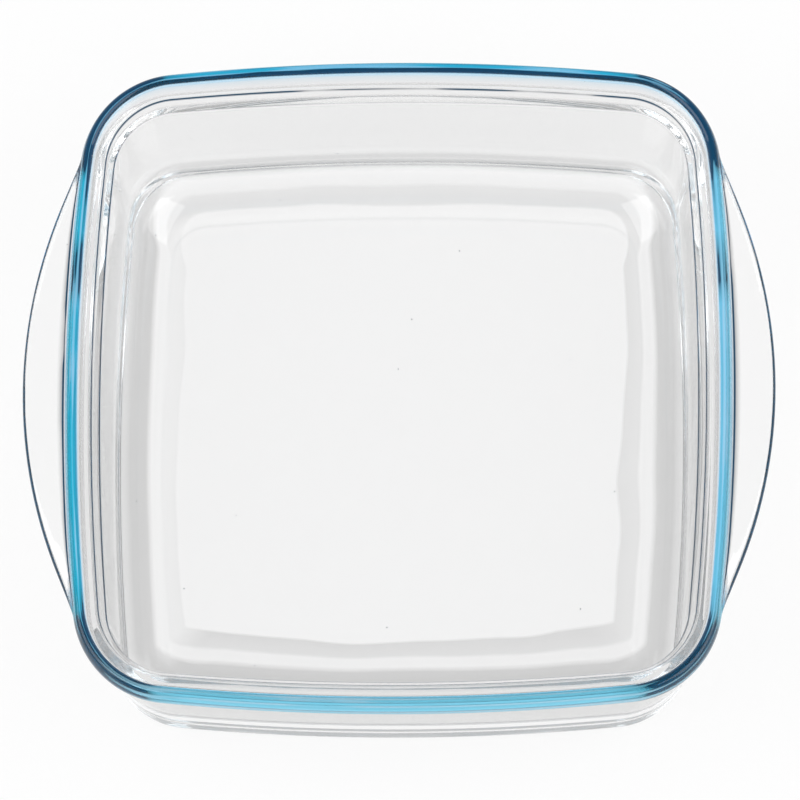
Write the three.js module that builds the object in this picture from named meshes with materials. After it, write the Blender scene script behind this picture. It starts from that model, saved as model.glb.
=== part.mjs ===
// Square glass baking dish with two wing handles, millimetres, +Z up.
// The foot ring stands on z = 0 and the dish is centred on the Z axis, with a handle at -X and at +X.
// The real dish is one pressing. Each zone of it is a closed solid here, and neighbours share their seat.
import * as THREE from "three";

// Height and plan of the rim
const HEIGHT = 65;
const RIM_HALF = 111;
const RIM_DEPTH_HALF = 116.5;
const RIM_CORNER = 33;
const RIM_BOW = 4;

// Lip, bead and inner ledge of the rim
const LIP_HEIGHT = 7.4;
const LIP_EDGE_RADIUS = 1;
const BEAD_RADIUS = 1.85;
const LEDGE_DEPTH = 2.7;
const LEDGE_WIDTH = 4.5;
const LEDGE_EDGE_RADIUS = 0.7;
const THROAT_INSET = 3.3;
const THROAT_DEPTH = 5.7;
const LIP_FLARE = 5;

// Wall
const WALL_THICKNESS = 6;
const WALL_DRAFT = 6;
const WALL_BOW = 3.6;

// Heel, foot ring and floor
const HEEL_RADIUS_INSIDE = 18;
const HEEL_RADIUS_OUTSIDE = 10;
const BASE_CORNER = 27;
const FLOOR_THICKNESS = 5.5;
const FLOOR_CORNER = 12;
const FLOOR_BOW = 2.6;
const FOOT_WIDTH = 8;
const RECESS_DEPTH = 0.8;
const RECESS_SLOPE = 2;

// Wing handles
const HANDLE_REACH = 14.6;
const HANDLE_ARC_RADIUS = 185;
const HANDLE_THICKNESS = 4;
const HANDLE_DROOP = 1.5;
const HANDLE_NOSE = 2.6;

// Facets: steps along a side, round a corner and along a fillet
const SIDE_STEPS = 14;
const CORNER_STEPS = 8;
const FILLET_STEPS = 6;
const BEAD_STEPS = 10;
const HEEL_STEPS = 8;

const CLEAR_GLASS = { color: 0xe9f1f2, roughness: 0.04, metalness: 0 };
const RIM_GLASS = { color: 0x6db7d0, roughness: 0.04, metalness: 0 };

// Levels and plan sizes that several zones share
const lipBottom = HEIGHT - LIP_HEIGHT;
const rimSeat = lipBottom - LIP_FLARE;
const heelSeat = FLOOR_THICKNESS + HEEL_RADIUS_INSIDE;
const ledgeHalf = RIM_HALF - 2 * BEAD_RADIUS - LEDGE_WIDTH;
const throatHalf = ledgeHalf - THROAT_INSET;
const throatLevel = HEIGHT - LEDGE_DEPTH - THROAT_DEPTH;
const throatSlope = THREE.MathUtils.radToDeg(Math.atan2(THROAT_DEPTH, THROAT_INSET));
const draft = Math.tan(THREE.MathUtils.degToRad(WALL_DRAFT));
const wallInside = (z) => throatHalf - (throatLevel - z) * draft;
const wallOutside = (z) => wallInside(z) + WALL_THICKNESS;
const floorHalf = wallInside(heelSeat) - HEEL_RADIUS_INSIDE;
const panelHalf = floorHalf - 2;
const baseHalf = wallOutside(HEEL_RADIUS_OUTSIDE);
const footOuter = baseHalf - HEEL_RADIUS_OUTSIDE;
const footInner = footOuter - FOOT_WIDTH;
const depthRatio = RIM_DEPTH_HALF / RIM_HALF;

// Corner radius at a plan size: parallel to the rim near the top, its own values at base and floor
function blend(value, low, high, atLow, atHigh) {
  const t = THREE.MathUtils.clamp((value - low) / (high - low), 0, 1);
  return atLow + (atHigh - atLow) * t;
}

const rimCorner = (half) => RIM_CORNER - (RIM_HALF - half);
const insideCorner = (half) => blend(half, floorHalf, throatHalf, FLOOR_CORNER, rimCorner(throatHalf));
const outsideCorner = (z) =>
  blend(z, HEEL_RADIUS_OUTSIDE, rimSeat, BASE_CORNER, rimCorner(wallOutside(rimSeat)));
const bowAt = (half) => blend(half, floorHalf, RIM_HALF, FLOOR_BOW, RIM_BOW);

// Plan of one ring from the +X side on: four bowed sides joined by round corners, each a circular arc,
// then drawn out front to back by the depth ratio
function planRing(half, corner, bow) {
  const chord = half - corner;
  const sideRadius = (chord * chord + bow * bow) / (2 * bow);
  const sideCentre = half - sideRadius;
  const reach = 2 * (sideRadius - corner) ** 2 - sideCentre ** 2;
  const cornerCentre = (sideCentre + Math.sqrt(reach)) / 2;
  const turn = Math.atan2(cornerCentre, cornerCentre - sideCentre);
  const quarter = [];
  for (let i = 0; i < SIDE_STEPS; i++) {
    const angle = turn * (-1 + (2 * i) / SIDE_STEPS);
    quarter.push([sideCentre + sideRadius * Math.cos(angle), sideRadius * Math.sin(angle)]);
  }
  for (let i = 0; i < CORNER_STEPS; i++) {
    const angle = turn + ((Math.PI / 2 - 2 * turn) * i) / CORNER_STEPS;
    quarter.push([cornerCentre + corner * Math.cos(angle), cornerCentre + corner * Math.sin(angle)]);
  }
  const ring = [];
  for (let side = 0; side < 4; side++) {
    const cos = Math.round(Math.cos((side * Math.PI) / 2));
    const sin = Math.round(Math.sin((side * Math.PI) / 2));
    for (const [x, y] of quarter) ring.push([x * cos - y * sin, (x * sin + y * cos) * depthRatio]);
  }
  return ring;
}

const station = (half, z, corner, bow = bowAt(half)) =>
  planRing(half, corner, bow).map(([x, y]) => new THREE.Vector3(x, y, z));

// Points of a fillet in the section plane, as [half, z]
function sectionArc(half, z, radius, fromDegrees, toDegrees, steps) {
  const points = [];
  for (let i = 0; i <= steps; i++) {
    const angle = THREE.MathUtils.degToRad(fromDegrees + ((toDegrees - fromDegrees) * i) / steps);
    points.push([half + radius * Math.cos(angle), z + radius * Math.sin(angle)]);
  }
  return points;
}

// A geometry from points and triangles, with its faces turned outward
function solid(points, triangles) {
  let volume = 0;
  for (const [a, b, c] of triangles) {
    volume += points[a].dot(new THREE.Vector3().crossVectors(points[b], points[c]));
  }
  const faces = volume > 0 ? triangles : triangles.map(([a, b, c]) => [a, c, b]);
  const geometry = new THREE.BufferGeometry();
  geometry.setAttribute("position", new THREE.Float32BufferAttribute(points.flatMap((p) => p.toArray()), 3));
  geometry.setIndex(faces.flat());
  geometry.computeVertexNormals();
  return geometry;
}

// Faces between rings of equal length. A looped section closes on its first ring, a slab gets two end faces
function sweep(rings, { looped, closedRing = true }) {
  const count = rings[0].length;
  const points = rings.flat();
  const triangles = [];
  const last = looped ? rings.length : rings.length - 1;
  const along = closedRing ? count : count - 1;
  for (let r = 0; r < last; r++) {
    const here = r * count;
    const next = ((r + 1) % rings.length) * count;
    for (let i = 0; i < along; i++) {
      const j = (i + 1) % count;
      triangles.push([here + i, here + j, next + j], [here + i, next + j, next + i]);
    }
  }
  return { points, triangles, count };
}

function sweptRing(rings) {
  const { points, triangles } = sweep(rings, { looped: true });
  return solid(points, triangles);
}

function slab(rings) {
  const { points, triangles, count } = sweep(rings, { looped: false });
  for (const [start, flip] of [[0, true], [(rings.length - 1) * count, false]]) {
    const centre = points.length;
    points.push(new THREE.Vector3(0, 0, points[start].z));
    for (let i = 0; i < count; i++) {
      const j = (i + 1) % count;
      triangles.push(flip ? [start + j, start + i, centre] : [start + i, start + j, centre]);
    }
  }
  return solid(points, triangles);
}

// Rings where two zones meet, so that both have the same points there
const rimSeatInside = station(wallInside(rimSeat), rimSeat, insideCorner(wallInside(rimSeat)));
const rimSeatOutside = station(wallOutside(rimSeat), rimSeat, outsideCorner(rimSeat));
const heelSeatInside = station(wallInside(heelSeat), heelSeat, insideCorner(wallInside(heelSeat)), WALL_BOW);
const heelSeatOutside = station(wallOutside(heelSeat), heelSeat, outsideCorner(heelSeat), WALL_BOW);
const panelTop = station(panelHalf, FLOOR_THICKNESS, FLOOR_CORNER);
const panelUnder = station(panelHalf, RECESS_DEPTH, FLOOR_CORNER);

// The flat cooking floor over the recess of the underside
const floorPanel = () => slab([panelUnder, panelTop]);

// The bend between floor and wall, with the foot ring under it
function heel() {
  const foot = [
    station(footInner - RECESS_SLOPE, RECESS_DEPTH, FLOOR_CORNER),
    station(footInner, 0, FLOOR_CORNER + RECESS_SLOPE),
  ];
  const outer = sectionArc(footOuter, HEEL_RADIUS_OUTSIDE, HEEL_RADIUS_OUTSIDE, -90, -WALL_DRAFT, FILLET_STEPS).map(
    ([half, z]) => station(half, z, BASE_CORNER - (baseHalf - half), WALL_BOW),
  );
  const inner = sectionArc(floorHalf, heelSeat, HEEL_RADIUS_INSIDE, 0, -90, HEEL_STEPS)
    .slice(1)
    .map(([half, z]) => station(half, z, insideCorner(half)));
  return sweptRing([panelUnder, ...foot, ...outer, heelSeatOutside, heelSeatInside, ...inner, panelTop]);
}

// The drafted wall from the heel to the rim
const sideWall = () => sweptRing([heelSeatOutside, rimSeatOutside, rimSeatInside, heelSeatInside]);

// The straight outer face of the lip, where the handles sit
const lipBandBottom = station(RIM_HALF, lipBottom + LIP_EDGE_RADIUS, RIM_CORNER);
const lipBandTop = station(RIM_HALF, HEIGHT - BEAD_RADIUS, RIM_CORNER);

// A hollow curve under the lip, upright at the wall and level at the lip's edge, as [half, z]
function flareCurve(from, to, steps) {
  const points = [];
  for (let i = 1; i <= steps; i++) {
    const angle = ((Math.PI / 2) * i) / steps;
    points.push([from + (to - from) * (1 - Math.cos(angle)), rimSeat + LIP_FLARE * Math.sin(angle)]);
  }
  return points;
}

// The lip: flare from the wall, straight outer face, rolled bead, inner ledge and throat
function rim() {
  const parallel = ([half, z]) => station(half, z, rimCorner(half));
  const flare = flareCurve(wallOutside(rimSeat), RIM_HALF - LIP_EDGE_RADIUS, FILLET_STEPS).map(parallel);
  const edge = sectionArc(RIM_HALF - LIP_EDGE_RADIUS, lipBottom + LIP_EDGE_RADIUS, LIP_EDGE_RADIUS, -90, 0, 4)
    .slice(1, -1)
    .map(parallel);
  const bead = sectionArc(RIM_HALF - BEAD_RADIUS, HEIGHT - BEAD_RADIUS, BEAD_RADIUS, 0, 180, BEAD_STEPS)
    .slice(1)
    .map(parallel);
  const ledgeLevel = HEIGHT - LEDGE_DEPTH;
  const ledge = sectionArc(
    ledgeHalf + LEDGE_EDGE_RADIUS, ledgeLevel - LEDGE_EDGE_RADIUS, LEDGE_EDGE_RADIUS, 90, 90 + throatSlope, 4,
  ).map(parallel);
  const throat = [[throatHalf, throatLevel]].map(parallel);
  return sweptRing([rimSeatOutside, ...flare, ...edge, lipBandBottom, lipBandTop, ...bead, ...ledge, ...throat, rimSeatInside]);
}

// A wing: a flat flange from the lip's outer face out to a large arc, with a rounded nose
function wing(side) {
  const start = side > 0 ? 0 : 2 * (SIDE_STEPS + CORNER_STEPS);
  const steps = Array.from({ length: SIDE_STEPS + 1 }, (_, i) => start + i);
  const apex = RIM_HALF + HANDLE_REACH;
  const rootBottom = lipBottom + LIP_EDGE_RADIUS;
  const sections = steps.map((i) => {
    const { x, y } = lipBandBottom[i];
    const root = Math.abs(x);
    const outer = apex - HANDLE_ARC_RADIUS + Math.sqrt(HANDLE_ARC_RADIUS ** 2 - y * y);
    const depth = outer - root;
    const drop = (HANDLE_DROOP * depth) / HANDLE_REACH;
    const nose = Math.min(HANDLE_NOSE, depth * 0.8);
    const middle = rootBottom + HANDLE_THICKNESS / 2 - drop;
    const profile = [[root, rootBottom + HANDLE_THICKNESS], [root, rootBottom]];
    for (let k = 0; k <= FILLET_STEPS; k++) {
      const angle = -Math.PI / 2 + (Math.PI * k) / FILLET_STEPS;
      profile.push([outer - nose + nose * Math.cos(angle), middle + (HANDLE_THICKNESS / 2) * Math.sin(angle)]);
    }
    return profile.map(([px, pz]) => new THREE.Vector3(side * px, y, pz));
  });
  const { points, triangles, count } = sweep(sections, { looped: false });
  for (const [from, flip] of [[0, true], [(sections.length - 1) * count, false]]) {
    for (let i = 1; i < count - 1; i++) {
      const face = [from, from + i, from + i + 1];
      triangles.push(flip ? face.reverse() : face);
    }
  }
  return solid(points, triangles);
}

function piece(name, geometry, finish) {
  const mesh = new THREE.Mesh(geometry, new THREE.MeshStandardMaterial(finish));
  mesh.name = name;
  return mesh;
}

const dish = new THREE.Group();
dish.add(
  piece("floor_panel", floorPanel(), CLEAR_GLASS),
  piece("heel", heel(), CLEAR_GLASS),
  piece("side_wall", sideWall(), CLEAR_GLASS),
  piece("rim", rim(), RIM_GLASS),
  piece("left_handle", wing(-1), CLEAR_GLASS),
  piece("right_handle", wing(1), CLEAR_GLASS),
);

export default dish;
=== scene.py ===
"""Square glass baking dish with two wing handles, on a white table in soft studio light."""

import math

import bmesh
import bpy
from mathutils import Matrix, Vector


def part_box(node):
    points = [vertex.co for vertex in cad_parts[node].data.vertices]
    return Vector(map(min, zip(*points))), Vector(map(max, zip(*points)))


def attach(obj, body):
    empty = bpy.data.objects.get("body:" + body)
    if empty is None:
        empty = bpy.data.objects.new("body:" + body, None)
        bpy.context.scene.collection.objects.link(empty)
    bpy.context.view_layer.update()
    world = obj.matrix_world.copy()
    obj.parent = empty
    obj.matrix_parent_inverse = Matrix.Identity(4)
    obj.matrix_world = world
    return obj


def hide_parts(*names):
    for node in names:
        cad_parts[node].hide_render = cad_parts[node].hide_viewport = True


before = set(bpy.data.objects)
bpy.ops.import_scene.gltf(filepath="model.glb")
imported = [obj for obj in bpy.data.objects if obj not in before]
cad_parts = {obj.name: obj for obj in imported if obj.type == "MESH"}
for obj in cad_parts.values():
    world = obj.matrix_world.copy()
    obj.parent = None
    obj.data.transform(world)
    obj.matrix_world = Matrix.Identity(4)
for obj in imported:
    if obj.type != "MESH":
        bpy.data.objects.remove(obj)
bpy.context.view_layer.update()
scene = bpy.context.scene

# Sizes in millimetres, angles in degrees. Height, width, depth and reach are read from the CAD nodes,
# and the rest repeats the part's own section
MM = 0.001
rim_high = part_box("rim")[1]
handle_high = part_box("right_handle")[1]
HEIGHT = rim_high[2] / MM
RIM_HALF = rim_high[0] / MM
DEPTH_RATIO = rim_high[1] / rim_high[0]
RIM_DEPTH_HALF = RIM_HALF * DEPTH_RATIO
HANDLE_TIP = handle_high[0] / MM
RIM_CORNER = 33.0
RIM_BOW = 4.0
LIP_HEIGHT = 7.4
LIP_EDGE = 1.0
LIP_FLARE = 5.0
BEAD = 1.85
LEDGE_DEPTH = 2.7
LEDGE_WIDTH = 4.5
LEDGE_EDGE = 0.7
THROAT_INSET = 3.3
THROAT_DEPTH = 5.7
WALL = 6.0
DRAFT = 6.0
HEEL_INSIDE = 18.0
HEEL_OUTSIDE = 10.0
BASE_CORNER = 27.0
FLOOR = 5.5
FLOOR_CORNER = 12.0
FLOOR_BOW = 2.6
FOOT_WIDTH = 8.0
RECESS = 0.8
HANDLE_ARC = 185.0
HANDLE_THICKNESS = 4.0
HANDLE_DROOP = 1.5
HANDLE_NOSE = 2.6

# Fire polish: the lip's face swells a little, and the bead sits further in, so that the face runs into it
LIP_SWELL = 0.25
BEAD_SET_IN = 0.45
BEAD_START = 25.0

# Points along a side and round a corner of each ring, and the smallest ring, under and on the floor
SIDE_STEPS = 18
CORNER_STEPS = 28
LEAST_CORNER = 2.0
MIDDLE_HALF = 20.0
MIDDLE_CORNER = 5.0

# Rings of the foot: way out from the foot ring's inner edge, height, and how much rounder the corner gets
FOOT_RINGS = (
    (-4.0, RECESS, 0.0), (-2.0, RECESS, 0.0), (-1.0, RECESS / 2, 1.0),
    (0.0, 0.0, 2.0), (1.0, 0.0, 3.0),
)
FOOT_EDGE = 1.0

# Rings of the walls as shares of their height, from the base up outside and from the throat down inside
OUTER_WALL_RINGS = (0.15, 0.3, 0.5, 0.7, 0.85, 0.97)
INNER_WALL_RINGS = (0.05, 0.12, 0.3, 0.5, 0.7, 0.9)

# Steps of the rounds, and rings of the floor by their way in from its edge
OUTER_HEEL_STEPS = 10
FLARE_STEPS = 8
LIP_EDGE_STEPS = 4
LEDGE_EDGE_STEPS = 4
INNER_HEEL_STEPS = 20
FLOOR_RINGS = (1.0, 2.0, 3.5, 5.0, 6.5, 8.0, 9.5, 11.0, 12.5, 14.5, 17.0, 22.0, 30.0)

# Rings of the wing, from its root below round the nose to its root above: zone, then way out from the
# lip in mm or angle on the nose in degrees, and the painted navy shade there, which draws the wing's dark
# outline
WING_RINGS = (
    ("under", 0.3, 0.0), ("under", 1.2, 0.0),
    ("nose", -90.0, 0.0), ("nose", -45.0, 2.0), ("nose", 0.0, 4.0), ("nose", 40.0, 3.5),
    ("nose", 58.0, 0.0), ("nose", 90.0, 0.0),
    ("over", 1.2, 0.0), ("over", 0.8, 1.2), ("over", 0.4, 0.0), ("over", 0.1, 0.0),
)

# The wing grows out where a point lies more to the side than this share of its way to front or back,
# is full from this reach on, and its nose and root take these shares of the reach where it is short
WING_SECTOR = 0.9
WING_BLEND = 1.5
NOSE_SHARE = 0.8
ROOT_SHARE = 0.15

# The foot of the bead on the ledge: way in from the bead's inner edge, and height over the ledge
BEAD_FOOT = ((0.15, 0.1), (0.6, 0.0))

# Zones of the rim as shares of its half width or half depth: where each starts, and where it is full
CORNER_ZONE = (0.66, 0.82)
BACK_ZONE = (0.45, 0.95)
SIDE_ZONE = (0.7, 0.9)
PATCH_ZONE = (0.1, 0.3)
PATCH_REACH = 0.9
PATCH_RATE = 17.0
PATCH_SHIFT = 0.6

# The navy is painted: painted shade that stands in for dark surroundings seen through the glass, and at the
# corners partly the deep tint of thick glass. 1 is full, and more holds against the bright streaks, which
# are painted glints
CORNER_SHADE = 1.45
PATCH_SHADE = 0.8
SIDE_SHADE = 0.3
LIP_EDGE_SHADE = 0.6
MOST_SHADE = 2.0

# Painted navy shade over the rolled bead, from where the lip's face runs into it to its inner edge, and how
# much of it shows along the sides, with more at the corners and at the back
BEAD_SHADE = (0.5, 0.1, 0.0, 0.25, 0.0, 0.0, 0.1, 0.6, 1.0, 1.0, 0.9, 0.2, 0.0, 0.0)
BEAD_SHADE_SIDE = 0.2
BEAD_SHADE_CORNER = 0.8
BEAD_SHADE_BACK = 1.6

# Rings of the throat: share of its height from the ledge down, painted navy shade, and how far it fades at
# the back. They draw two thin dark lines of painted shade
THROAT_RINGS = (
    (0.06, 0.0, 0.0), (0.14, 1.8, 0.2), (0.22, 0.0, 0.0), (0.5, 0.0, 0.0),
    (0.86, 0.0, 0.0), (0.93, 2.0, 0.95), (1.0, 1.6, 0.95), (1.06, 0.0, 0.0),
)

# Blue of the rim: how much paler it is at the front and the right, where it starts under the lip as a share
# of the flare, and the steps of the bead over which it ends
PALER_BLUE = 0.045
BLUE_UNDER_LIP = (0.3, 1.3)
BLUE_ENDS = (10, 13)

# The lay is the share of the way over lip and bead, from the lip's lower edge to the bead's inner edge.
# Here the bead starts
LAY_BEAD = 0.45

# Painted grey shade on the colourless glass, that stands in for the dish's own shadow on the table seen
# through
# it: over the heights of the outer wall, on the ledge, on its edge and on the throat
WALL_SHADE_HEIGHTS = (22.0, 29.0)
OUTER_WALL_SHADE = 0.16
LEDGE_SHADE = 0.5
LEDGE_EDGE_SHADE = 0.4
THROAT_SHADE = 0.5
WALL_SHADE_LOST_AT_BACK = 0.4

# The heel's grey bands are painted shade: the dish's contact shadow on the table seen through the heel, and
# the front rim's shadow on the table under the floor. They lie by their way out from the flat floor's edge,
# and further in at the front. Over the top of the heel the way runs to its end
WAY_LOW = -24.0
WAY_HIGH = 26.0
WAY_FRONT = 9.0
WAY_BLEND = 3.0
HEEL_SHADE_BANDS = (
    (-3.0, 0.0), (-2.2, 0.7), (2.4, 0.55), (3.4, 0.12), (6.4, 0.1), (8.2, 0.9), (13.5, 1.0),
    (16.0, 0.8), (18.0, 0.6), (22.0, 0.5), (25.0, 0.5),
)

# How much of the painted shade bands shows: less at the back, and on the floor's edge, where the front rim's
# painted shadow lies, full only at the front
HEEL_SHADE_LOST_AT_BACK = 0.25
EDGE_SHADE_FRONT = -0.7
EDGE_SHADE_LEFT = 0.25
EDGE_SHADE_RIGHT = 0.7
EDGE_HEIGHTS = (0.4, 2.0)

lip_bottom = HEIGHT - LIP_HEIGHT
rim_seat = lip_bottom - LIP_FLARE
heel_seat = FLOOR + HEEL_INSIDE
ledge = HEIGHT - LEDGE_DEPTH
ledge_half = RIM_HALF - 2 * BEAD - LEDGE_WIDTH
throat_half = ledge_half - THROAT_INSET
throat_level = ledge - THROAT_DEPTH
draft_slope = math.tan(math.radians(DRAFT))


def wall_inside(z):
    """Half width of the inner wall's face at a height."""
    return throat_half - (throat_level - z) * draft_slope


def wall_outside(z):
    """Half width of the outer wall's face at a height."""
    return wall_inside(z) + WALL


floor_half = wall_inside(heel_seat) - HEEL_INSIDE
base_half = wall_outside(HEEL_OUTSIDE)
foot_outer = base_half - HEEL_OUTSIDE
foot_inner = foot_outer - FOOT_WIDTH


def between(value, low, high, at_low, at_high):
    """Straight blend of two values, held at both ends."""
    share = min(1.0, max(0.0, (value - low) / (high - low)))
    return at_low + (at_high - at_low) * share


def rising(value, start=0.0, end=1.0):
    """Soft step from 0 at the start to 1 at the end."""
    share = between(value, start, end, 0.0, 1.0)
    return share * share * (3 - 2 * share)


def rim_corner(half):
    """Corner radius of a ring of the rim, parallel to its outline."""
    return RIM_CORNER - (RIM_HALF - half)


def inside_corner(half):
    """Corner radius of a ring of the inner surface, from the floor to the throat."""
    return between(half, floor_half, throat_half, FLOOR_CORNER, rim_corner(throat_half))


def outside_corner(z):
    """Corner radius of the outer wall at a height."""
    return between(z, HEEL_OUTSIDE, rim_seat, BASE_CORNER, rim_corner(wall_outside(rim_seat)))


def section_arc(half, z, radius, start, end, steps):
    """Points (half, z) of a round in the section plane, angles in degrees."""
    points = []
    for i in range(steps + 1):
        angle = math.radians(start + (end - start) * i / steps)
        points.append((half + radius * math.cos(angle), z + radius * math.sin(angle)))
    return points


def plan_ring(half, corner):
    """Outline of one level ring as (x, y, how far it faces the back): bowed sides and round corners."""
    bow = between(half, floor_half, RIM_HALF, FLOOR_BOW, RIM_BOW)
    chord = half - corner
    side_radius = (chord * chord + bow * bow) / (2 * bow)
    side_centre = half - side_radius
    reach = 2 * (side_radius - corner) ** 2 - side_centre ** 2
    corner_centre = (side_centre + math.sqrt(reach)) / 2
    turn = math.atan2(corner_centre, corner_centre - side_centre)
    quarter = []
    for i in range(SIDE_STEPS):
        angle = turn * (2 * i / SIDE_STEPS - 1)
        quarter.append((side_centre + side_radius * math.cos(angle), side_radius * math.sin(angle), angle))
    for i in range(CORNER_STEPS):
        angle = turn + (math.pi / 2 - 2 * turn) * i / CORNER_STEPS
        x = corner_centre + corner * math.cos(angle)
        quarter.append((x, corner_centre + corner * math.sin(angle), angle))
    ring = []
    for cos, sin in ((1, 0), (0, 1), (-1, 0), (0, -1)):
        for x, y, angle in quarter:
            facing = math.cos(angle) * sin + math.sin(angle) * cos
            ring.append((x * cos - y * sin, (x * sin + y * cos) * DEPTH_RATIO, facing))
    return ring


def at_corner(x, y):
    """1 in the middle of a rounded corner of the rim, 0 along its sides."""
    return rising(min(abs(x) / RIM_HALF, abs(y) / RIM_DEPTH_HALF), *CORNER_ZONE)


def at_back(y):
    """1 along the back of the rim, 0 from the middle of the dish on."""
    return rising(y / RIM_DEPTH_HALF, *BACK_ZONE)


def bead_shade_share(x, y):
    """How much of the bead's painted navy shade shows at a plan point."""
    return min(MOST_SHADE, BEAD_SHADE_SIDE + BEAD_SHADE_CORNER * at_corner(x, y) + BEAD_SHADE_BACK * at_back(y))


def side_patch(x, y):
    """Patches of painted navy shade that follow each other along the back half of the left and right rim."""
    if abs(x) < PATCH_REACH * RIM_HALF:
        return 0.0
    along = y / RIM_DEPTH_HALF
    return rising(along, *PATCH_ZONE) * rising(math.cos(along * PATCH_RATE + PATCH_SHIFT))


def rim_shade(x, y):
    """Painted navy shade of the rim at a plan point: corners, patches at the sides, a little at the left and
    the back.
    """
    left = rising(-x / RIM_HALF, *SIDE_ZONE)
    return CORNER_SHADE * at_corner(x, y) + PATCH_SHADE * side_patch(x, y) + SIDE_SHADE * max(left, at_back(y))


def blue_share(x, y):
    """How full the rim's blue is at a plan point: paler along the front and the right."""
    right = rising(x / RIM_HALF, *SIDE_ZONE)
    front = rising(-y / RIM_DEPTH_HALF, *SIDE_ZONE)
    return 1.0 - PALER_BLUE * max(right, front) * (1.0 - at_corner(x, y))


def level_row(half, z, corner, blue=0.0, wall_shade=0.0, navy_shade=0.0, shade_line=0.0, fade=0.0, lay=0.0):
    """A ring at one height, as (point, blue, painted grey shade, painted navy shade, heel way, share of heel
    shade, lay) of each of its points.
    """
    row = []
    for x, y, facing in plan_ring(half, max(corner, LEAST_CORNER)):
        # Painted navy shade: the bead's lines, the throat's lines, and the rim's corners, patches and sides
        depth = navy_shade * bead_shade_share(x, y) + shade_line * (1.0 - fade * at_back(y)) + blue * rim_shade(x, y)
        # Painted grey shade on the walls, ledge and throat, less where they face the back
        grey = wall_shade * (1.0 - WALL_SHADE_LOST_AT_BACK * rising(facing))
        tint = blue * blue_share(x, y)
        row.append((Vector((x, y, z)) * MM, tint, grey, min(MOST_SHADE, depth), 0.0, 0.0, lay))
    return row


def inside_row(half, z, corner):
    """A ring of the inner surface, with its way out from the floor's edge as a share of the whole, and how
    much of the heel's painted shade shows there.
    """
    row = []
    for x, y, facing in plan_ring(half, max(corner, LEAST_CORNER)):
        # The painted shade bands lie by this way out, shifted in at the front, where the front rim's painted
        # shadow falls
        way = between(half - floor_half - WAY_FRONT * facing, WAY_LOW, WAY_HIGH, 0.0, 1.0)
        way += (1.0 - way) * rising(z, heel_seat - WAY_BLEND, heel_seat)
        beside = EDGE_SHADE_LEFT + (EDGE_SHADE_RIGHT - EDGE_SHADE_LEFT) * rising(x, -floor_half, floor_half)
        edge_shade_veil = between(facing, EDGE_SHADE_FRONT, 0.0, 1.0, beside)
        on_edge = 1.0 - rising(z - FLOOR, *EDGE_HEIGHTS)
        shade_veil = (1.0 - HEEL_SHADE_LOST_AT_BACK * rising(facing)) * (1.0 + (edge_shade_veil - 1.0) * on_edge)
        row.append((Vector((x, y, z)) * MM, 0.0, 0.0, 0.0, way, shade_veil, 0.0))
    return row


def bead_points():
    """Section (half, z) of the rolled bead, from where the lip's face runs into it to its inner edge."""
    centre = RIM_HALF - BEAD_SET_IN - BEAD
    return section_arc(centre, HEIGHT - BEAD, BEAD, BEAD_START, 180, len(BEAD_SHADE) - 1)


def wing_row(step):
    """A ring of the lip's outer face, drawn out into the wings at the left and the right."""
    root_low = lip_bottom + LIP_EDGE
    bead_half, bead_z = bead_points()[0]
    zone, place, wing_shade = WING_RINGS[step]
    height_share = (step + 1) / (len(WING_RINGS) + 1)
    plain_z = root_low + (bead_z - root_low) * height_share
    swell = LIP_SWELL * math.sin(math.pi * height_share)
    half = RIM_HALF + swell + (bead_half - RIM_HALF) * height_share ** 2
    row = []
    for x, y, _ in plan_ring(half, rim_corner(half)):
        reach = 0.0
        if abs(x) > WING_SECTOR * abs(y):
            reach = max(0.0, HANDLE_TIP - HANDLE_ARC + math.sqrt(HANDLE_ARC ** 2 - y * y) - abs(x))
        share = rising(reach, 0.0, WING_BLEND)
        nose = min(HANDLE_NOSE, NOSE_SHARE * reach)
        drop = HANDLE_DROOP * reach / (HANDLE_TIP - RIM_HALF)
        if zone == "nose":
            angle = math.radians(place)
            out = reach - nose + nose * math.cos(angle)
            z = root_low + HANDLE_THICKNESS / 2 - drop + HANDLE_THICKNESS / 2 * math.sin(angle)
        else:
            out = min(place, ROOT_SHARE * reach * place)
            z = root_low if zone == "under" else root_low + HANDLE_THICKNESS
        blue = 1.0 if step == len(WING_RINGS) - 1 else 1.0 - share
        point = Vector((x + math.copysign(out, x), y, plain_z + (z - plain_z) * share))
        # Painted navy shade draws the wing's dark outline and runs into the rim's
        navy_shade = wing_shade * share + rim_shade(x, y) * (1.0 - share)
        row.append((point * MM, blue * blue_share(x, y), 0.0, navy_shade, 0.0, 0.0, LAY_BEAD * height_share))
    return row


def outer_wall_shade(z):
    """Painted grey shade of the outer wall, for the dish's shadow on the table seen through it: more above
    the middle than near the base.
    """
    return between(z, *WALL_SHADE_HEIGHTS, 0.0, OUTER_WALL_SHADE)


def underside_rows():
    """The recess under the floor, the foot ring and the outer heel."""
    rows = [level_row(MIDDLE_HALF, RECESS, MIDDLE_CORNER)]
    for out, z, rounder in FOOT_RINGS:
        rows.append(level_row(foot_inner + out, z, FLOOR_CORNER + rounder))
    rows.append(level_row(foot_outer - FOOT_EDGE, 0, BASE_CORNER - HEEL_OUTSIDE - FOOT_EDGE))
    for half, z in section_arc(foot_outer, HEEL_OUTSIDE, HEEL_OUTSIDE, -90, -DRAFT, OUTER_HEEL_STEPS):
        rows.append(level_row(half, z, BASE_CORNER - (base_half - half)))
    return rows


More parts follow.
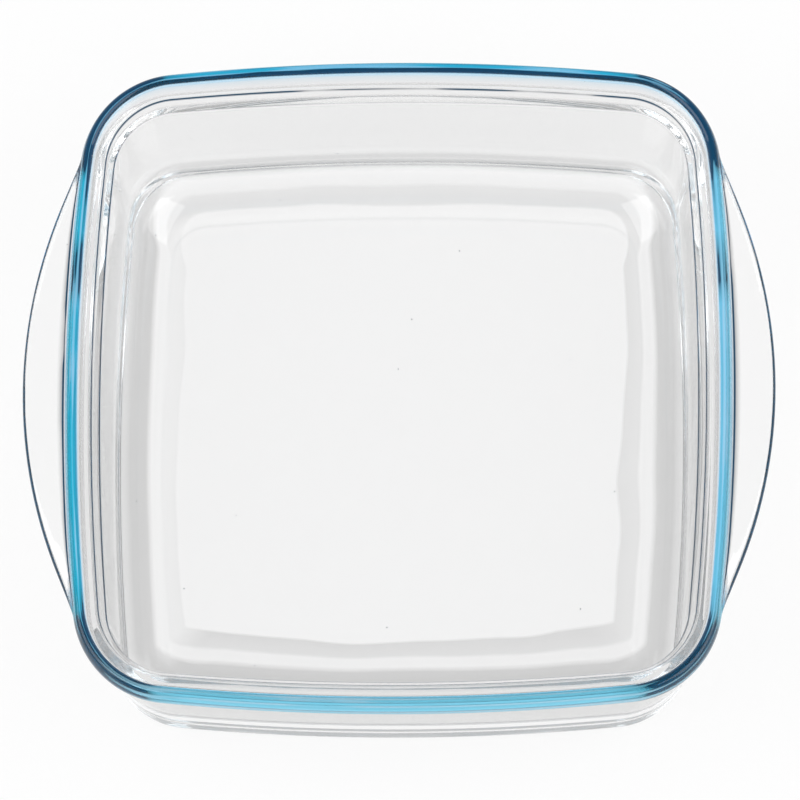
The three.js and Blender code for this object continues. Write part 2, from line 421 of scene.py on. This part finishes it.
def outer_wall_rows():
    """The outer wall and the flare that carries it out to the lip."""
    rows = []
    for share in OUTER_WALL_RINGS:
        z = HEEL_OUTSIDE + (rim_seat - HEEL_OUTSIDE) * share
        rows.append(level_row(wall_outside(z), z, outside_corner(z), wall_shade=outer_wall_shade(z)))
    wall_top = wall_outside(rim_seat)
    for i in range(FLARE_STEPS + 1):
        share = i / FLARE_STEPS
        angle = math.pi / 2 * share
        half = wall_top + (RIM_HALF - LIP_EDGE - wall_top) * (1 - math.cos(angle))
        z = rim_seat + LIP_FLARE * math.sin(angle)
        blue = rising(share, *BLUE_UNDER_LIP)
        rows.append(level_row(half, z, rim_corner(half), blue, outer_wall_shade(z) * (1 - share)))
    return rows


def lip_rows():
    """The lip's lower edge, its outer face with the wings, and the rolled bead down to the ledge."""
    rows = []
    edge_half = RIM_HALF - LIP_EDGE
    for half, z in section_arc(edge_half, lip_bottom + LIP_EDGE, LIP_EDGE, -90, 0, LIP_EDGE_STEPS)[1:]:
        rows.append(level_row(half, z, rim_corner(half), blue=1.0, navy_shade=LIP_EDGE_SHADE))
    for step in range(len(WING_RINGS)):
        rows.append(wing_row(step))
    for i, (half, z) in enumerate(bead_points()):
        lay = LAY_BEAD + (1.0 - LAY_BEAD) * i / (len(BEAD_SHADE) - 1)
        blue = 1.0 - rising(i, *BLUE_ENDS)
        rows.append(level_row(half, z, rim_corner(half), blue, navy_shade=BEAD_SHADE[i], lay=lay))
    inner_bead = RIM_HALF - BEAD_SET_IN - 2 * BEAD
    for inset, over in BEAD_FOOT:
        half = inner_bead - inset
        rows.append(level_row(half, ledge + over, rim_corner(half), wall_shade=LEDGE_SHADE))
    return rows


def throat_rows():
    """The ledge's rounded edge and the throat below it."""
    rows = []
    edge_half = ledge_half + LEDGE_EDGE
    edge_end = 90 + math.degrees(math.atan2(THROAT_DEPTH, THROAT_INSET))
    for half, z in section_arc(edge_half, ledge - LEDGE_EDGE, LEDGE_EDGE, 90, edge_end, LEDGE_EDGE_STEPS):
        rows.append(level_row(half, z, rim_corner(half), wall_shade=LEDGE_EDGE_SHADE))
    for share, shade_line, fade in THROAT_RINGS:
        half = ledge_half - THROAT_INSET * min(share, 1.0)
        z = ledge - THROAT_DEPTH * share
        rows.append(level_row(half, z, rim_corner(half), wall_shade=THROAT_SHADE, shade_line=shade_line, fade=fade))
    return rows


def inner_rows():
    """The inner wall, the inner heel and the floor."""
    rows = []
    for share in INNER_WALL_RINGS:
        z = throat_level + (heel_seat - throat_level) * share
        rows.append(inside_row(wall_inside(z), z, inside_corner(wall_inside(z))))
    for half, z in section_arc(floor_half, heel_seat, HEEL_INSIDE, -DRAFT, -90, INNER_HEEL_STEPS):
        rows.append(inside_row(half, z, inside_corner(half)))
    for inset in FLOOR_RINGS:
        rows.append(inside_row(floor_half - inset, FLOOR, FLOOR_CORNER))
    rows.append(inside_row(MIDDLE_HALF, FLOOR, MIDDLE_CORNER))
    return rows


def lofted_shell(name, rows, attributes):
    """One closed mesh: a circle set to the first ring, drawn out ring by ring, and filled at both ends."""
    bm = bmesh.new()
    place = bm.verts.layers.int.new("place")
    layers = [bm.verts.layers.float.new(attribute) for attribute in attributes]
    verts = bmesh.ops.create_circle(bm, segments=len(rows[0]), radius=rows[0][0][0].length)["verts"]
    for i, vert in enumerate(verts):
        vert[place] = i
    edges = list(bm.edges)
    first_edges = edges
    for number, row in enumerate(rows):
        if number:
            grown = bmesh.ops.extrude_edge_only(bm, edges=edges)["geom"]
            verts = [part for part in grown if isinstance(part, bmesh.types.BMVert)]
            edges = [part for part in grown if isinstance(part, bmesh.types.BMEdge) and part.is_boundary]
        for vert in verts:
            vert.co, *values = row[vert[place]]
            for layer, value in zip(layers, values):
                vert[layer] = value
    bmesh.ops.edgeloop_fill(bm, edges=first_edges)
    bmesh.ops.edgeloop_fill(bm, edges=edges)
    bmesh.ops.recalc_face_normals(bm, faces=bm.faces)
    mesh = bpy.data.meshes.new(name)
    bm.to_mesh(mesh)
    bm.free()
    for polygon in mesh.polygons:
        polygon.use_smooth = True
    piece = bpy.data.objects.new(name, mesh)
    scene.collection.objects.link(piece)
    return piece


def feed(tree, socket, value):
    """Link another node's output to a socket, or fill in a plain value."""
    if isinstance(value, bpy.types.NodeSocket):
        tree.links.new(value, socket)
    else:
        socket.default_value = value


def add_node(tree, kind, **values):
    """A node with its settings made and its sockets filled in or linked."""
    node = tree.nodes.new(kind)
    for key, value in values.items():
        if key in node.inputs:
            feed(tree, node.inputs[key], value)
        else:
            setattr(node, key, value)
    return node


def calculate(tree, operation, *values, clamp=False):
    """Output of a Math node, whose values are numbers or the outputs of other nodes."""
    node = add_node(tree, "ShaderNodeMath", operation=operation, use_clamp=clamp)
    for socket, value in zip(node.inputs, values):
        feed(tree, socket, value)
    return node.outputs["Value"]


def remap(tree, value, from_low, from_high, to_low, to_high):
    """Output of a Map Range node, held at both ends."""
    node = add_node(tree, "ShaderNodeMapRange", Value=value)
    node.inputs["From Min"].default_value = from_low
    node.inputs["From Max"].default_value = from_high
    node.inputs["To Min"].default_value = to_low
    node.inputs["To Max"].default_value = to_high
    return node.outputs["Result"]


def blend(tree, share, below, above):
    """Output of a colour Mix node: below at share 0, above at share 1."""
    node = add_node(tree, "ShaderNodeMix", data_type="RGBA", Factor=share, A=below, B=above)
    return node.outputs["Result"]


def noise(tree, place, scale, detail):
    """Output of a Noise texture."""
    node = add_node(tree, "ShaderNodeTexNoise", Vector=place, Scale=scale, Detail=detail)
    return node.outputs["Fac"]


def attribute(tree, name):
    """Output of one of the shell's own attributes."""
    return add_node(tree, "ShaderNodeAttribute", attribute_name=name).outputs["Fac"]


# Colours that a full tint gives the glass: colourless, blue, and the grey and navy of painted shade
CLEAR = (1.0, 1.0, 1.0, 1.0)
HEEL_SHADE_GREY = (0.46, 0.46, 0.46, 1.0)
RIM_BLUE = (0.001, 0.48, 0.87, 1.0)
NAVY_SHADE_COLOUR = (0.0, 0.004, 0.018, 1.0)

GLASS_IOR = 1.47

# Streaks along the rim: their number across it, their drift along it, and what the noise, from low to high,
# makes of the blue and of the painted navy shade, whose bright gaps are painted glints. Light that leaves
# takes on this share of the blue
STREAKS_ACROSS = 6.5
STREAKS_ALONG = 3.0
STREAK_DRIFT_SCALE = 14.0
BLUE_STREAKS = (0.32, 0.5, 0.82, 1.0)
SHADE_STREAKS = (0.4, 0.56, 0.4, 1.3)
BLUE_LEAVING = 0.7

# Seeds are tiny dark bubbles: how dense they lie, and how large they are
SEED_SCALE = 80.0
SEED_SIZE = 0.016

# The heel's painted shade bands sway: scale of the noise, and how far, from the floor's side of its edge to
# the heel's
SWAY_SCALE = 20.0
SWAY_WAYS = (-6.0, 6.0)
SWAY_SIZES = (0.2, 0.04)

# Uneven polish and faint waves: scale and detail of the noise, and its strength
POLISH_NOISE = (90.0, 4.0)
MOST_ROUGHNESS = 0.02
WAVE_NOISE = (28.0, 1.5)
WAVE_HEIGHT = 0.002
WAVE_UNDER_SHADE_VEIL = 0.1
WAVE_ELSEWHERE = 0.02


def way_share(distance):
    """Way out from the floor's edge in mm, as a share of the whole."""
    return (distance - WAY_LOW) / (WAY_HIGH - WAY_LOW)


def rim_streaks(tree, place):
    """Noise that runs along the rim: quick across it, slow along it."""
    drift = noise(tree, place, STREAK_DRIFT_SCALE, 1.0)
    across = calculate(tree, "MULTIPLY", attribute(tree, "lay"), STREAKS_ACROSS)
    along = calculate(tree, "MULTIPLY", drift, STREAKS_ALONG)
    spot = add_node(tree, "ShaderNodeCombineXYZ", X=across, Y=along)
    return noise(tree, spot.outputs["Vector"], 1.0, 2.0)


def heel_shade(tree, place, shade_veil):
    """Painted shade on the colourless glass: the swaying grey bands of the heel as far as they show, and the
    grey elsewhere.
    """
    way = attribute(tree, "heel_way")
    low, high = SWAY_WAYS
    sway = calculate(tree, "SUBTRACT", noise(tree, place, SWAY_SCALE, 1.0), 0.5)
    sway_size = remap(tree, way, way_share(low), way_share(high), *SWAY_SIZES)
    bands = add_node(tree, "ShaderNodeValToRGB", Fac=calculate(tree, "MULTIPLY_ADD", sway, sway_size, way))
    stops = bands.color_ramp.elements
    for number, (distance, level) in enumerate(HEEL_SHADE_BANDS):
        stop = stops[number] if number < 2 else stops.new(1.0)
        stop.position = way_share(distance)
        stop.color = (level, level, level, 1.0)
    grey_shade = calculate(tree, "MULTIPLY_ADD", bands.outputs["Color"], shade_veil, attribute(tree, "wall_shade"))
    return blend(tree, grey_shade, CLEAR, HEEL_SHADE_GREY)


def rim_colour(tree, place, shaded_clear):
    """The streaked blue of the rim over the colourless glass with its painted grey shade, and on it the
    painted navy shade and the seeds.

    The painted navy shade tints only light that goes in, and blue tints light that goes out less than light
    that goes in.
    """
    streaks = rim_streaks(tree, place)
    backfacing = add_node(tree, "ShaderNodeNewGeometry").outputs["Backfacing"]
    entering = calculate(tree, "SUBTRACT", 1.0, backfacing)
    passing = calculate(tree, "MULTIPLY_ADD", entering, 1.0 - BLUE_LEAVING, BLUE_LEAVING)
    blue = calculate(tree, "MULTIPLY", attribute(tree, "blue"), passing)
    streaked_blue = calculate(tree, "MULTIPLY", blue, remap(tree, streaks, *BLUE_STREAKS))
    navy_shade = calculate(tree, "MULTIPLY", attribute(tree, "navy_shade"), entering)
    streaked_shade = calculate(tree, "MULTIPLY", navy_shade, remap(tree, streaks, *SHADE_STREAKS), clamp=True)
    seeds = add_node(tree, "ShaderNodeTexVoronoi", Vector=place, Scale=SEED_SCALE)
    speck = calculate(tree, "LESS_THAN", seeds.outputs["Distance"], SEED_SIZE)
    dark = calculate(tree, "MAXIMUM", streaked_shade, speck)
    return blend(tree, dark, blend(tree, streaked_blue, shaded_clear, RIM_BLUE), NAVY_SHADE_COLOUR)


def glass_material(name):
    """Clear pressed glass: blue and painted navy shade at the rim, painted grey shade bands at the heel and
    on the walls, uneven polish, faint waves.
    """
    material = bpy.data.materials.new(name)
    material.use_nodes = True
    tree = material.node_tree
    shader = tree.nodes["Principled BSDF"]
    shader.inputs["Transmission Weight"].default_value = 1.0
    shader.inputs["IOR"].default_value = GLASS_IOR
    place = add_node(tree, "ShaderNodeTexCoord").outputs["Object"]
    shade_veil = attribute(tree, "shade_veil")
    # The glass colour carries the painted grey shade of the heel, walls, ledge and throat
    shaded_clear = heel_shade(tree, place, shade_veil)
    polish = noise(tree, place, *POLISH_NOISE)
    wave = noise(tree, place, *WAVE_NOISE)
    wave_strength = calculate(tree, "MULTIPLY_ADD", shade_veil, WAVE_UNDER_SHADE_VEIL, WAVE_ELSEWHERE)
    bump = add_node(tree, "ShaderNodeBump", Strength=wave_strength, Distance=WAVE_HEIGHT, Height=wave)
    feed(tree, shader.inputs["Base Color"], rim_colour(tree, place, shaded_clear))
    feed(tree, shader.inputs["Roughness"], remap(tree, polish, 0.0, 1.0, 0.0, MOST_ROUGHNESS))
    feed(tree, shader.inputs["Normal"], bump.outputs["Normal"])
    return material


# The dish: rings from the underside's middle round the rim to the middle of the floor
dish_rows = underside_rows() + outer_wall_rows() + lip_rows() + throat_rows() + inner_rows()
dish = lofted_shell("glass_dish", dish_rows, ("blue", "wall_shade", "navy_shade", "heel_way", "shade_veil", "lay"))
dish.data.materials.append(glass_material("pressed_glass"))
rounding = dish.modifiers.new("rounding", "SUBSURF")
rounding.levels = 1
rounding.render_levels = 1
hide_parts("floor_panel", "heel", "side_wall", "rim", "left_handle", "right_handle")
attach(dish, "root")

# Table, room and lamps, in metres and watts. The white share of the table is plain white to the eye, and the
# rest keeps the shadow. The room has the height of a direction and the grey that is seen there
TABLE_HALF = 6.0
TABLE_GAP = 0.0002
TABLE_PAINT = (0.85, 0.85, 0.85, 1.0)
TABLE_ROUGHNESS = 0.9
TABLE_WHITE_SHARE = 0.88
ROOM_LIGHT = 0.5
ROOM_HORIZON = (0.25, 0.62)
ROOM_OVERHEAD = (0.8, 0.3)
SOFTBOX_PLACE = Vector((1.3, -0.3, 1.2))
SOFTBOX_SIZE = 1.6
SOFTBOX_POWER = 20.0


def seen_ray_mask(tree):
    """1 for rays that the eye, a reflection or the glass sends out, 0 for rays that carry light."""
    rays = add_node(tree, "ShaderNodeLightPath").outputs
    straight = calculate(tree, "MAXIMUM", rays["Is Camera Ray"], rays["Is Glossy Ray"])
    return calculate(tree, "MAXIMUM", straight, rays["Is Transmission Ray"])


def mix_shaders(tree, share, below, above, output):
    """Mix two shaders by a share and send the result to the output node."""
    mixed = add_node(tree, "ShaderNodeMixShader", Fac=share)
    tree.links.new(below, mixed.inputs[1])
    tree.links.new(above, mixed.inputs[2])
    tree.links.new(mixed.outputs["Shader"], tree.nodes[output].inputs["Surface"])


def white_table():
    """A wide white table a hair below the foot ring, that keeps a light shadow."""
    bm = bmesh.new()
    bmesh.ops.create_grid(bm, x_segments=1, y_segments=1, size=TABLE_HALF)
    mesh = bpy.data.meshes.new("table")
    bm.to_mesh(mesh)
    bm.free()
    table = bpy.data.objects.new("table", mesh)
    table.location.z = -TABLE_GAP
    scene.collection.objects.link(table)
    material = bpy.data.materials.new("white_table")
    material.use_nodes = True
    tree = material.node_tree
    paint = tree.nodes["Principled BSDF"]
    paint.inputs["Base Color"].default_value = TABLE_PAINT
    paint.inputs["Roughness"].default_value = TABLE_ROUGHNESS
    paint.inputs["Specular IOR Level"].default_value = 0.0
    white = add_node(tree, "ShaderNodeEmission", Color=CLEAR, Strength=1.0)
    share = calculate(tree, "MULTIPLY", seen_ray_mask(tree), TABLE_WHITE_SHARE)
    mix_shaders(tree, share, paint.outputs["BSDF"], white.outputs["Emission"], "Material Output")
    mesh.materials.append(material)


def studio_room():
    """A room that gives plain white light, and that looks pale at the horizon and darker overhead."""
    world = bpy.data.worlds.new("studio")
    scene.world = world
    world.use_nodes = True
    tree = world.node_tree
    light = tree.nodes["Background"]
    light.inputs["Color"].default_value = CLEAR
    light.inputs["Strength"].default_value = ROOM_LIGHT
    coords = add_node(tree, "ShaderNodeTexCoord")
    split = add_node(tree, "ShaderNodeSeparateXYZ", Vector=coords.outputs["Generated"])
    levels = add_node(tree, "ShaderNodeValToRGB", Fac=split.outputs["Z"])
    for stop, (height, level) in zip(levels.color_ramp.elements, (ROOM_HORIZON, ROOM_OVERHEAD)):
        stop.position = height
        stop.color = (level, level, level, 1.0)
    seen = add_node(tree, "ShaderNodeBackground", Color=levels.outputs["Color"], Strength=1.0)
    shaders = (light.outputs["Background"], seen.outputs["Background"])
    mix_shaders(tree, seen_ray_mask(tree), *shaders, "World Output")


def softbox(name, place):
    """A square soft lamp at a place, turned to the dish."""
    lamp = bpy.data.lights.new(name, "AREA")
    lamp.shape = "SQUARE"
    lamp.size = SOFTBOX_SIZE
    lamp.energy = SOFTBOX_POWER
    holder = bpy.data.objects.new(name, lamp)
    holder.location = place
    holder.rotation_euler = (-place).to_track_quat("-Z", "Y").to_euler()
    scene.collection.objects.link(holder)


white_table()
studio_room()
softbox("left_softbox", SOFTBOX_PLACE * Vector((-1, 1, 1)))
softbox("right_softbox", SOFTBOX_PLACE)

# Camera: a long lens that looks down on the dish from the front, aimed so that the dish sits as in the photo
VIEW_OFF_VERTICAL = math.radians(22.5)
VIEW_SIDEWAYS = math.radians(1.5)
VIEW_ROLL = math.radians(0.4)
VIEW_DISTANCE = 4.0
VIEW_END = 50.0
SENSOR_WIDTH = 36.0
PIXELS_PER_MM = 3.01
IMAGE_SIZE = 800
RIM_CENTRE_PIXEL = (398.5, 379.9)

toward = Vector((
    math.tan(VIEW_SIDEWAYS) * math.cos(VIEW_OFF_VERTICAL),
    -math.sin(VIEW_OFF_VERTICAL),
    math.cos(VIEW_OFF_VERTICAL),
)).normalized()
up = (Vector((0, 1, 0)) - toward.y * toward).normalized()
right = up.cross(toward)
turned_right = right * math.cos(VIEW_ROLL) + up * math.sin(VIEW_ROLL)
turned_up = up * math.cos(VIEW_ROLL) - right * math.sin(VIEW_ROLL)
aim_right = (IMAGE_SIZE / 2 - RIM_CENTRE_PIXEL[0]) / PIXELS_PER_MM * MM
aim_up = (RIM_CENTRE_PIXEL[1] - IMAGE_SIZE / 2) / PIXELS_PER_MM * MM
aim = Vector((0, 0, HEIGHT * MM)) + turned_right * aim_right + turned_up * aim_up

lens = bpy.data.cameras.new("camera")
lens.sensor_width = SENSOR_WIDTH
lens.lens = SENSOR_WIDTH * PIXELS_PER_MM / MM * VIEW_DISTANCE / IMAGE_SIZE
lens.clip_end = VIEW_END
camera = bpy.data.objects.new("camera", lens)
turn = Matrix((turned_right, turned_up, toward)).transposed().to_4x4()
camera.matrix_world = Matrix.Translation(aim + toward * VIEW_DISTANCE) @ turn
scene.collection.objects.link(camera)
scene.camera = camera
scene.view_settings.view_transform = "Standard"

# Light runs a long way inside thick glass before it comes out
LIGHT_BOUNCES = 128
scene.cycles.max_bounces = LIGHT_BOUNCES
scene.cycles.glossy_bounces = LIGHT_BOUNCES
scene.cycles.transmission_bounces = LIGHT_BOUNCES
